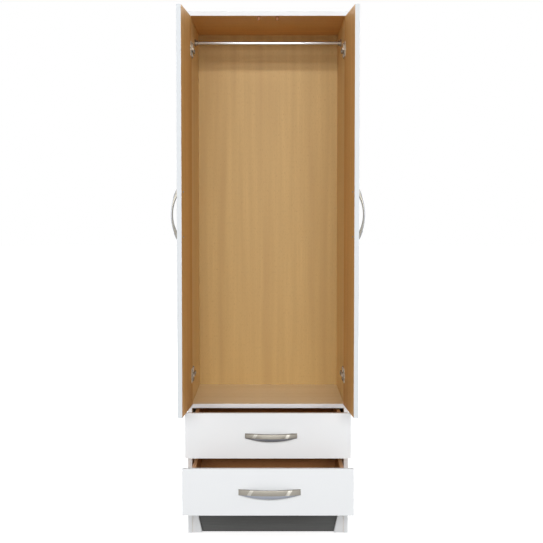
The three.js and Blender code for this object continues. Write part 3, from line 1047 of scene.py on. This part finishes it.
@dataclass
class Hinges:
    """Four concealed hinges: a cup in the door, a hooked arm, and a winged plate on the side panel."""

    screws: Screws
    ear_width: float = 18 * MM
    ear_screw: float = 19 * MM
    flange: float = 1.2 * MM
    rim_lap: float = 0.7 * MM
    steel: float = 1 * MM
    pin_radius: float = 1 * MM
    bar_length: float = 64 * MM
    bar_depth: float = 6 * MM
    hook_width: float = 8 * MM
    eye_radius: float = 2 * MM
    wing_width: float = 18 * MM
    wing_rear: float = 20 * MM
    bar_height: float = 12 * MM
    corner_share: float = 0.4
    arm_round: float = 2 * MM
    arm_margin: float = 0.8 * MM
    arm_screw_shares: tuple[float, float] = (0.2, 0.62)
    edge_rounds: tuple[float, float, float] = (0.25 * MM, 0.3 * MM, 0.4 * MM)
    screw_size: float = 0.8

    def build(self) -> None:
        """Model the upper right hinge and copy it to the other three places."""
        # One plating in two copies: the cup's light cream tone is a painted highlight, and the arm's and
        # plate's darker, browner tone is painted shade
        cup_painted_highlight = PressedSteel("nickel_plated_cup", tone="#E0D7C5", deep="#D2C9B7", roughness=0.55)
        cup_painted_highlight = cup_painted_highlight.material()
        dull = PressedSteel("dull_nickel_plated_arm", tone="#97897A", deep="#86796A", roughness=0.5)
        dull = dull.material()
        swing = opened(Hand.RIGHT)
        boxes = {kind: box_before(f"right_upper_hinge_{kind}", swing if kind == "cup" else STILL)
                 for kind in ("cup", "arm", "plate")}
        shapes = {
            "cup": self.cup(*boxes["cup"], Vector(joint("right_door_hinge")["pos_m"])),
            "arm": self.arm(*boxes["arm"]),
            "plate": self.plate(*boxes["plate"]),
        }
        heads = {kind: self.heads(kind, *boxes[kind]) for kind in boxes}
        for hand in Hand:
            for level in LEVELS:
                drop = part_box(f"{hand.word}_{level}_hinge_plate")[0].z - boxes["plate"][0].z
                for kind, shape in shapes.items():
                    body = f"{hand.word}_door" if kind == "cup" else "carcass"
                    rest = opened(hand) if kind == "cup" else STILL
                    place = rest @ Matrix.Translation(drop * UPWARDS) @ hand.image
                    twin = shape.twin(f"{hand.word}_{level}_pressed_{kind}", place)
                    twin.dress(cup_painted_highlight if kind == "cup" else dull)
                    twin.seat(body, "hinge_nickel", f"{hand.word}_{level}_hinge_{kind}")
                    for head in heads[kind]:
                        self.screws.add(body, place @ head, self.screw_size)
        for shape in shapes.values():
            shape.discard()

    def heads(self, kind: str, low: Vector, high: Vector) -> list[Matrix]:
        """Places of a part's screws.

        Args:
            kind: cup, arm or plate.
            low: the part's lowest corner.
            high: its highest corner.

        Returns:
            The places, each with +Z the way that the head looks.
        """
        middle = (low + high) / 2
        levels = [middle.z + side * self.ear_screw for side in (-1, 1)]
        if kind == "cup":
            return [aim(Vector((middle.x, high.y, level)), REARWARDS) for level in levels]
        if kind == "plate":
            wing = high.y - self.wing_rear - self.wing_width / 2
            return [aim(Vector((low.x, wing, level)), -RIGHTWARDS) for level in levels]
        depths = [high.y - share * self.bar_length for share in self.arm_screw_shares]
        return [aim(Vector((low.x + self.steel, depth, middle.z)), -RIGHTWARDS) for depth in depths]

    def cup(self, low: Vector, high: Vector, pivot: Vector) -> Workpiece:
        """Model the cup with its eared flange and its pin, in the closed door.

        Args:
            low: its lowest corner.
            high: its highest corner.
            pivot: a point on the hinge's axis.

        Returns:
            The workpiece.
        """
        middle, rim = (low + high) / 2, (high.x - low.x) / 2
        back, mouth = high.y - self.flange, rim - self.rim_lap - self.steel
        ears = Workpiece.block("pressed_cup", Vector((middle.x - self.ear_width / 2, back, low.z)),
                               Vector((middle.x + self.ear_width / 2, high.y, high.z)))
        ears.select(Part.EDGE, lambda a, b: abs(a.y - b.y) > self.flange / 2)
        ears.bevel(self.corner_share * self.ear_width, 6)
        rounds = (
            ("UNION", "flange", back, high.y, rim),
            ("UNION", "shell", low.y, back + self.flange / 2, rim - self.rim_lap),
            ("DIFFERENCE", "mouth", low.y + self.steel, high.y + self.steel, mouth),
        )
        for operation, name, start, end, radius in rounds:
            ends = [Vector((middle.x, y, middle.z)) for y in (start, end)]
            ears.combine(operation, Workpiece.round_bar(name, *ends, radius, 48))
        pin = Vector((pivot.x, pivot.y, middle.z))
        reach = math.sqrt(mouth**2 - (pin.x - middle.x) ** 2) + self.steel / 2
        bar = Workpiece.round_bar("pin", pin - reach * UPWARDS, pin + reach * UPWARDS, self.pin_radius, 16)
        return ears.combine("UNION", bar).round_edges(self.edge_rounds[0])

    def arm(self, low: Vector, high: Vector) -> Workpiece:
        """Model the pressed arm: a round-backed bar with a sunk face, and the hook to the pin.

        Args:
            low: its lowest corner.
            high: its highest corner.

        Returns:
            The workpiece.
        """
        deep = low.x + self.bar_depth
        middle = (low.z + high.z) / 2
        start = high.y - self.bar_length
        bar = Workpiece.block("pressed_arm", Vector((low.x, start, low.z)), Vector((deep, high.y, high.z)))
        bar.select(Part.EDGE, lambda a, b: max(a.x, b.x) < low.x + NEAR).bevel(self.arm_round, 3)
        bar.select(Part.FACE, lambda c, n: n.x < -STRAIGHT).inset(self.arm_margin)
        bar.extrude(self.steel * RIGHTWARDS)
        tip, eye = self.hook_width / 2, high.x - self.eye_radius
        hook = Workpiece.block("hook", Vector((low.x, low.y, middle - tip)),
                               Vector((deep, start + self.steel, middle + tip)))
        leg = Workpiece.block("leg", Vector((low.x + self.steel, low.y, middle - tip)),
                              Vector((eye, low.y + self.eye_radius, middle + tip)))
        ends = [Vector((eye, low.y + self.eye_radius, middle + side * tip)) for side in (-1, 1)]
        hook.combine("UNION", leg, Workpiece.round_bar("eye", *ends, self.eye_radius, 24))
        return bar.combine("UNION", hook).round_edges(self.edge_rounds[1])

    def plate(self, low: Vector, high: Vector) -> Workpiece:
        """Model the mounting plate with its two round-ended wings.

        Args:
            low: its lowest corner.
            high: its highest corner.

        Returns:
            The workpiece.
        """
        middle, half = (low.z + high.z) / 2, self.bar_height / 2
        bar = Workpiece.block("winged_plate", Vector((low.x, low.y, middle - half)),
                              Vector((high.x, high.y, middle + half)))
        rear = high.y - self.wing_rear
        wings = Workpiece.block("wings", Vector((low.x, rear - self.wing_width, low.z)),
                                Vector((high.x, rear, high.z)))
        wings.select(Part.EDGE, lambda a, b: abs(a.x - b.x) > self.steel)
        wings.bevel(self.corner_share * self.wing_width, 6)
        return bar.combine("UNION", wings).round_edges(self.edge_rounds[2])


@dataclass
class Rail:
    """The hanging rail, a chromed tube whose ends rest in two screwed sockets."""

    screws: Screws
    wall: float = 1 * MM
    bore: float = 30 * MM
    flange: float = 3 * MM
    collar_radius: float = 8.55 * MM
    collar_wall: float = 2 * MM
    screw_circle: float = 10.8 * MM
    screw_size: float = 0.55
    edge_rounds: tuple[float, float] = (0.2 * MM, 0.4 * MM)

    def build(self) -> None:
        """Model the tube and the right socket, and mirror the socket."""
        chrome = ChromedTube().material()
        # The sockets' brownish grey tone is painted shade, with a painted reflection of the beech walls
        cast = PressedSteel("dull_chromed_casting", tone="#93887A", deep="#857A6C", roughness=0.55)
        cast = cast.material()
        low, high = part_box("hanging_rail")
        middle, radius = (low + high) / 2, (high.z - low.z) / 2
        ends = [Vector((x, middle.y, middle.z)) for x in (low.x, high.x)]
        tube = Workpiece.round_bar("chromed_rail", *ends, radius, 48)
        for side in (-1, 1):
            tube.select(Part.FACE, lambda c, n: n.x * side > ALONG).inset(self.wall)
            tube.extrude(-side * self.bore * RIGHTWARDS)
        tube.round_edges(self.edge_rounds[0]).dress(chrome)
        tube.seat("carcass", "chromed_steel", "hanging_rail")
        socket = self.socket()
        for hand in Hand:
            twin = socket.twin(f"{hand.word}_socket", hand.image).dress(cast)
            twin.seat("carcass", "chromed_steel", f"{hand.word}_rail_socket")
            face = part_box("right_rail_socket")[1].x - self.flange
            for side in (-1, 1):
                point = Vector((face, middle.y, middle.z + side * self.screw_circle))
                self.screws.add("carcass", hand.image @ aim(point, -RIGHTWARDS), self.screw_size)
        socket.discard()

    def socket(self) -> Workpiece:
        """Model the right socket: a round flange with a collar that holds the tube.

        Returns:
            The workpiece.
        """
        low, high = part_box("right_rail_socket")
        middle, radius = (low + high) / 2, (high.z - low.z) / 2
        ends = [Vector((x, middle.y, middle.z)) for x in (high.x - self.flange, high.x)]
        socket = Workpiece.round_bar("socket", *ends, radius, 48)
        depth = high.x - low.x - self.flange
        socket.select(Part.FACE, lambda c, n: n.x < -ALONG).inset(radius - self.collar_radius)
        socket.extrude(-depth * RIGHTWARDS).inset(self.collar_wall).extrude(depth * RIGHTWARDS)
        return socket.round_edges(self.edge_rounds[1])


@dataclass
class Stops:
    """Two round stops under the top panel, each held by a screw sunk in its foot."""

    screws: Screws
    recess: float = 2 * MM
    rim: float = 1.2 * MM
    foot_round: float = 1.4 * MM
    edge_round: float = 0.25 * MM
    screw_size: float = 0.7

    def build(self) -> None:
        """Model the right stop and mirror it."""
        plastic = CopperPlastic().material()
        low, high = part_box("right_door_stop")
        middle, radius = (low + high) / 2, (high.x - low.x) / 2
        foot = Vector((middle.x, middle.y, low.z))
        stop = Workpiece.round_bar("stop", Vector((middle.x, middle.y, high.z)), foot, radius)
        stop.select(Part.EDGE, lambda a, b: max(a.z, b.z) < low.z + NEAR).bevel(self.foot_round, 3)
        stop.select(Part.FACE, lambda c, n: n.z < -ALONG).inset(self.rim).extrude(self.recess * UPWARDS)
        stop.round_edges(self.edge_round)
        for hand in Hand:
            twin = stop.twin(f"{hand.word}_stop", hand.image).dress(plastic)
            twin.seat("carcass", "copper_plastic", f"{hand.word}_door_stop")
            sunk = aim(foot + self.recess * UPWARDS, -UPWARDS)
            self.screws.add("carcass", hand.image @ sunk, self.screw_size)
        stop.discard()


@dataclass
class Runners:
    """Coated steel runners with nylon rollers, one pair on each side of a drawer."""

    screws: Screws
    edge: float = 0.3 * MM
    web: float = 1.2 * MM
    rim: float = 1.4 * MM
    rim_round: float = 0.8 * MM
    dish: float = 1.3 * MM
    hub_radius: float = 3.4 * MM
    axle_radius: float = 2 * MM
    wheel_width: float = 5.5 * MM
    screw_shares: tuple[float, ...] = (0.12, 0.5, 0.85)
    screw_size: float = 0.6

    def build(self) -> None:
        """Dress the profiles, screw them on, and model the rollers."""
        coat, nylon = EpoxyCoat().material(), MouldedNylon().material()
        for level in LEVELS:
            for hand in Hand:
                name = f"{level}_{hand.word}"
                ease(f"{name}_cabinet_runner", coat, self.edge)
                ease(f"{name}_drawer_runner", coat, self.edge)
                low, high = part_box(f"{name}_cabinet_runner")
                web = (high.x if hand is Hand.RIGHT else low.x) - hand.value * self.web
                for share in self.screw_shares:
                    point = Vector((web, low.y + share * (high.y - low.y), (low.z + high.z) / 2))
                    self.screws.add("carcass", aim(point, -hand.value * RIGHTWARDS), self.screw_size)
                for end, side in (("front", hand.value), ("rear", -hand.value)):
                    self.roller(f"{name}_{end}", side, nylon, f"{level}_{end}_rollers")

    def roller(self, name: str, side: int, nylon: bpy.types.Material, body: str) -> None:
        """Model one roller: a dished wheel with a hub, and an axle that points one way.

        Args:
            name: the start of its node's name.
            side: the axle's direction along X.
            nylon: its finish.
            body: the body that it rides on.
        """
        low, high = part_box(f"{name}_roller")
        middle, radius = (low + high) / 2, (high.z - low.z) / 2
        near = low.x if side > 0 else high.x
        ends = [Vector((near + side * reach, middle.y, middle.z)) for reach in (0.0, self.wheel_width)]
        wheel = Workpiece.round_bar(f"{name}_nylon_roller", *ends, radius)
        wheel.select(Part.EDGE, lambda a, b: abs(a.x - b.x) < NEAR).bevel(self.rim_round, 2)
        hub_inset = radius - self.rim_round - self.rim - self.hub_radius
        for way in (-side, side):
            wheel.select(Part.FACE, lambda c, n: n.x * way > ALONG and abs(c.z - middle.z) < NEAR)
            wheel.inset(self.rim).extrude(-way * self.dish * RIGHTWARDS)
            wheel.inset(hub_inset).extrude(way * self.dish * RIGHTWARDS)
        axle = high.x - low.x - self.wheel_width
        wheel.inset(self.hub_radius - self.axle_radius).extrude(side * axle * RIGHTWARDS)
        bpy.ops.object.mode_set(mode="OBJECT")
        bpy.ops.object.shade_smooth_by_angle(angle=CREASE)
        wheel.dress(nylon).seat(body, "white_nylon", f"{name}_roller")


@dataclass
class Boards:
    """The finish of every board, and the eased edges that catch the light."""

    edge: float = 0.7 * MM
    # The doors' inner faces carry a deeper, more saturated copy of the beech print: painted shade
    door_print: BeechPrint = BeechPrint("#D8A763", "#C89554", "#B68545")
    # The top's underside carries a deeper, more saturated copy of the beech print: painted shade
    top_print: BeechPrint = BeechPrint("#D6A158", "#C6904B", "#B4803E")
    # The side panels' inner faces carry a paler copy of the beech print: painted light
    wall_print: BeechPrint = BeechPrint("#E2C288", "#D4B176", "#C8A56A")
    # The floor of the hanging space carries a much paler copy of the beech print: painted light and sheen
    floor_print: BeechPrint = BeechPrint("#FAEDD3", "#F0E1C1", "#E2CFAC")
    back_print: BeechPrint = BeechPrint("#D0AF6E", "#C19E60", "#B99659")
    foil: BeechPrint = BeechPrint("#B88249", "#A87139", "#9A652F")
    door_roughness: float = 0.65
    floor_roughness: float = 0.3
    # The doors' edging is a darker, cooler copy of the white edging: painted shade
    door_edging: str = "#D9DDE0"
    # The floor panel's front edging is a lighter copy of the white edging: painted light
    floor_edging: str = "#F4F5F5"
    sheet_round: float = 0.3 * MM
    nail_round_share: float = 0.5
    nail_radius: float = 1.8 * MM
    nail_proud: float = 0.3 * MM
    nail_inset: float = 7.5 * MM
    nails_up: int = 11
    nails_across: int = 5

    def build(self) -> None:
        """Dress every board of the carcass, the doors and the drawers."""
        for hand in Hand:
            inward = -hand.value * RIGHTWARDS
            self.dress(FacedBoard(f"melamine_{hand.word}_side", inward=(inward,), outward=-inward,
                                  pattern=self.wall_print), f"{hand.word}_side_panel")
            inward = opened(hand).to_3x3() @ REARWARDS
            self.dress(FacedBoard(f"melamine_{hand.word}_door", inward=(inward,), outward=-inward,
                                  pattern=self.door_print, print_roughness=self.door_roughness,
                                  edging=self.door_edging), f"{hand.word}_door_panel")
        across = {"grain": Grain.ACROSS}
        self.dress(FacedBoard("melamine_white_over_beech", inward=(-UPWARDS,), pattern=self.top_print,
                              **across), "top_panel")
        self.dress(FacedBoard("melamine_beech_with_white_edge", inward=(UPWARDS, -UPWARDS),
                              pattern=self.floor_print, print_roughness=self.floor_roughness,
                              edging=self.floor_edging, outward=-REARWARDS, **across),
                   "wardrobe_floor_panel", "base_panel")
        self.dress(FacedBoard("melamine_drawer_front", inward=(REARWARDS,), **across),
                   "upper_drawer_front", "lower_drawer_front")
        self.dress(FacedBoard("melamine_white"), "left_foot_block", "right_foot_block", "rear_plinth")
        # The front plinth's dark grey is painted shade
        self.dress(DarkMelamine(), "front_plinth")
        self.add_back()
        self.dress(Hardboard("printed_hardboard_tray", pattern=self.foil, printed=UPWARDS, **across),
                   "upper_drawer_bottom", "lower_drawer_bottom")
        self.dress(FoiledBoard("foiled_drawer_side", pattern=self.foil, grain=Grain.DEEP),
                   *(f"{level}_drawer_{hand.word}_side" for level in LEVELS for hand in Hand))
        self.dress(FoiledBoard("foiled_drawer_back", pattern=self.foil, **across),
                   "upper_drawer_back", "lower_drawer_back")

    def dress(self, finish: Finish, *nodes: str) -> None:
        """Give boards one finish and eased edges.

        Args:
            finish: the finish.
            nodes: the CAD nodes' names.
        """
        material = finish.material()
        for node in nodes:
            ease(node, material, self.edge)

    def add_back(self) -> None:
        """Model the back sheet, nailed round its edges and along the floor of the hanging space."""
        low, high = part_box("back_panel")
        rear = high.y - self.nail_proud
        sheet = Workpiece.block("printed_back_sheet", low, Vector((high.x, rear, high.z)))
        fibre = Hardboard("printed_hardboard_back", pattern=self.back_print).material()
        sheet.round_edges(self.sheet_round, 1).dress(fibre).seat("carcass", "hardboard", "back_panel")
        nail = Workpiece.round_bar("nail", Vector(), self.nail_proud * UPWARDS, self.nail_radius, 10)
        nail.select(Part.EDGE, lambda a, b: min(a.z, b.z) > self.nail_proud - NEAR)
        nail.bevel(self.nail_round_share * self.nail_proud, 1).pick()
        left, right = low.x + self.nail_inset, high.x - self.nail_inset
        foot, top = low.z + self.nail_inset, high.z - self.nail_inset
        shelf = sum(corner.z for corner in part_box("wardrobe_floor_panel")) / 2
        heights = [foot + (top - foot) * i / (self.nails_up - 1) for i in range(self.nails_up)]
        gap = (right - left) / (self.nails_across - 1)
        inner = [left + gap * i for i in range(1, self.nails_across - 1)]
        spots = {(x, z) for x in (left, right) for z in heights}
        spots |= {(x, z) for x in inner for z in (foot, shelf, top)}
        places = [aim(Vector((x, rear, z)), REARWARDS) for x, z in sorted(spots)]
        nails = nail.spread("back_nails", places).dress(PressedSteel("nail_steel").material())
        nails.seat("carcass", "hinge_nickel")


@dataclass(frozen=True)
class Softbox:
    """One soft lamp, aimed at the middle of the wardrobe."""

    name: str
    place: Vector
    power: float
    depth: float = 0.5
    width: float = 10.0
    target: Vector = Vector((0.0, 0.0, 1.0))

    def build(self) -> None:
        """Hang the lamp, unseen by the camera."""
        data = bpy.data.lights.new(self.name, "AREA")
        data.shape = "RECTANGLE"
        data.size, data.size_y = self.width, self.depth
        data.energy = self.power
        lamp = bpy.data.objects.new(self.name, data)
        lamp.location = self.place
        lamp.rotation_euler = (self.target - self.place).to_track_quat("-Z", "Y").to_euler()
        lamp.visible_camera = False
        bpy.context.scene.collection.objects.link(lamp)


@dataclass
class Studio:
    """White floor, soft light and the camera at the photograph's place."""

    lens: float = 81.8
    sensor: float = 36.0
    distance: float = 4.2
    eye_height: float = 1.125
    pitch: float = 0.053
    shift: float = 0.00645
    carcass_front: float = -66 * MM
    floor_half: float = 30.0
    backdrop: str = "#FFFFFF"
    floor_paint: str = "#BFBFBF"
    near_glow: float = 0.8
    far_glow: float = 1.0
    glow_reach: float = 5.0
    ambient: float = 0.07
    lamps: tuple[Softbox, ...] = (
        Softbox("high_softbox", Vector((0.0, -9.0, 4.1)), 302.0),
        Softbox("middle_softbox", Vector((0.0, -9.0, 2.75)), 366.0, 1.2),
        Softbox("low_softbox", Vector((0.0, -9.0, 0.7)), 58.0),
        Softbox("left_softbox", Vector((-6.0, 1.0, 1.8)), 190.0, 1.2),
        Softbox("right_softbox", Vector((6.0, 1.0, 1.8)), 190.0, 1.2),
        Softbox("rear_softbox", Vector((0.0, 6.0, 2.6)), 200.0, 1.2),
        Softbox("top_softbox", Vector((0.0, 1.6, 6.0)), 100.0, 1.2, 2.0),
    )

    def build(self) -> None:
        """Set up everything round the object."""
        self.add_camera()
        self.add_floor()
        self.add_world()
        for lamp in self.lamps:
            lamp.build()
        bpy.context.scene.view_settings.view_transform = "Standard"
        log.info("studio built")

    def add_camera(self) -> None:
        """Place the camera."""
        data = bpy.data.cameras.new("camera")
        data.lens = self.lens
        data.sensor_width = self.sensor
        data.shift_x = self.shift
        camera = bpy.data.objects.new("camera", data)
        camera.location = (0.0, self.carcass_front - self.distance, self.eye_height)
        camera.rotation_euler = (math.pi / 2 - self.pitch, 0.0, 0.0)
        bpy.context.scene.collection.objects.link(camera)
        bpy.context.scene.camera = camera

    def add_floor(self) -> None:
        """Lay a white floor that keeps the object's shadow."""
        clear_bench()
        bpy.ops.mesh.primitive_plane_add(size=2 * self.floor_half)
        floor = bpy.context.active_object
        floor.name = "floor"
        material = bpy.data.materials.new("white_floor")
        material.use_nodes = True
        tree = material.node_tree
        tree.nodes.clear()
        place = add_node(tree, "ShaderNodeTexCoord").outputs["Object"]
        reach = add_node(tree, "ShaderNodeVectorMath", {0: place}, operation="LENGTH").outputs["Value"]
        inputs = {"Value": reach, "From Max": self.glow_reach}
        inputs |= {"To Min": self.near_glow, "To Max": self.far_glow}
        glow = add_node(tree, "ShaderNodeMapRange", inputs).outputs["Result"]
        inputs = {0: self.seen_rays(tree), 1: glow}
        strength = add_node(tree, "ShaderNodeMath", inputs, operation="MULTIPLY").outputs[0]
        glow = add_node(tree, "ShaderNodeEmission", {"Color": linear(self.backdrop), "Strength": strength})
        paint = add_node(tree, "ShaderNodeBsdfDiffuse", {"Color": linear(self.floor_paint)})
        both = add_node(tree, "ShaderNodeAddShader", {0: glow.outputs[0], 1: paint.outputs[0]})
        add_node(tree, "ShaderNodeOutputMaterial", {"Surface": both.outputs[0]})
        floor.data.materials.append(material)

    def seen_rays(self, tree: bpy.types.NodeTree) -> bpy.types.NodeSocket:
        """Give 1 for rays that show the background: from the camera, by gloss or through glass.

        Args:
            tree: the floor's or the world's node tree.

        Returns:
            A socket of 1 for such rays and 0 for others.
        """
        path = add_node(tree, "ShaderNodeLightPath").outputs
        inputs = {0: path["Is Camera Ray"], 1: path["Is Glossy Ray"]}
        shown = add_node(tree, "ShaderNodeMath", inputs, operation="MAXIMUM").outputs[0]
        inputs = {0: shown, 1: path["Is Transmission Ray"]}
        return add_node(tree, "ShaderNodeMath", inputs, operation="MAXIMUM").outputs[0]

    def add_world(self) -> None:
        """Make the world white where it shows, and a soft fill elsewhere."""
        world = bpy.data.worlds.new("studio")
        world.use_nodes = True
        tree = world.node_tree
        tree.nodes.clear()
        inputs = {"Value": self.seen_rays(tree), "To Min": self.ambient, "To Max": 1.0}
        strength = add_node(tree, "ShaderNodeMapRange", inputs).outputs["Result"]
        inputs = {"Color": linear(self.backdrop), "Strength": strength}
        background = add_node(tree, "ShaderNodeBackground", inputs)
        add_node(tree, "ShaderNodeOutputWorld", {"Surface": background.outputs[0]})
        bpy.context.scene.world = world


def main() -> None:
    """Build the studio and the wardrobe's sub-assemblies in order."""
    logging.basicConfig(level=logging.INFO, format="%(message)s")
    screws = Screws()
    fittings = [kind(screws) for kind in (Handles, Hinges, Rail, Stops, Runners)]
    for assembly in (Studio(), Boards(), *fittings, screws):
        assembly.build()


if __name__ == "__main__":
    main()
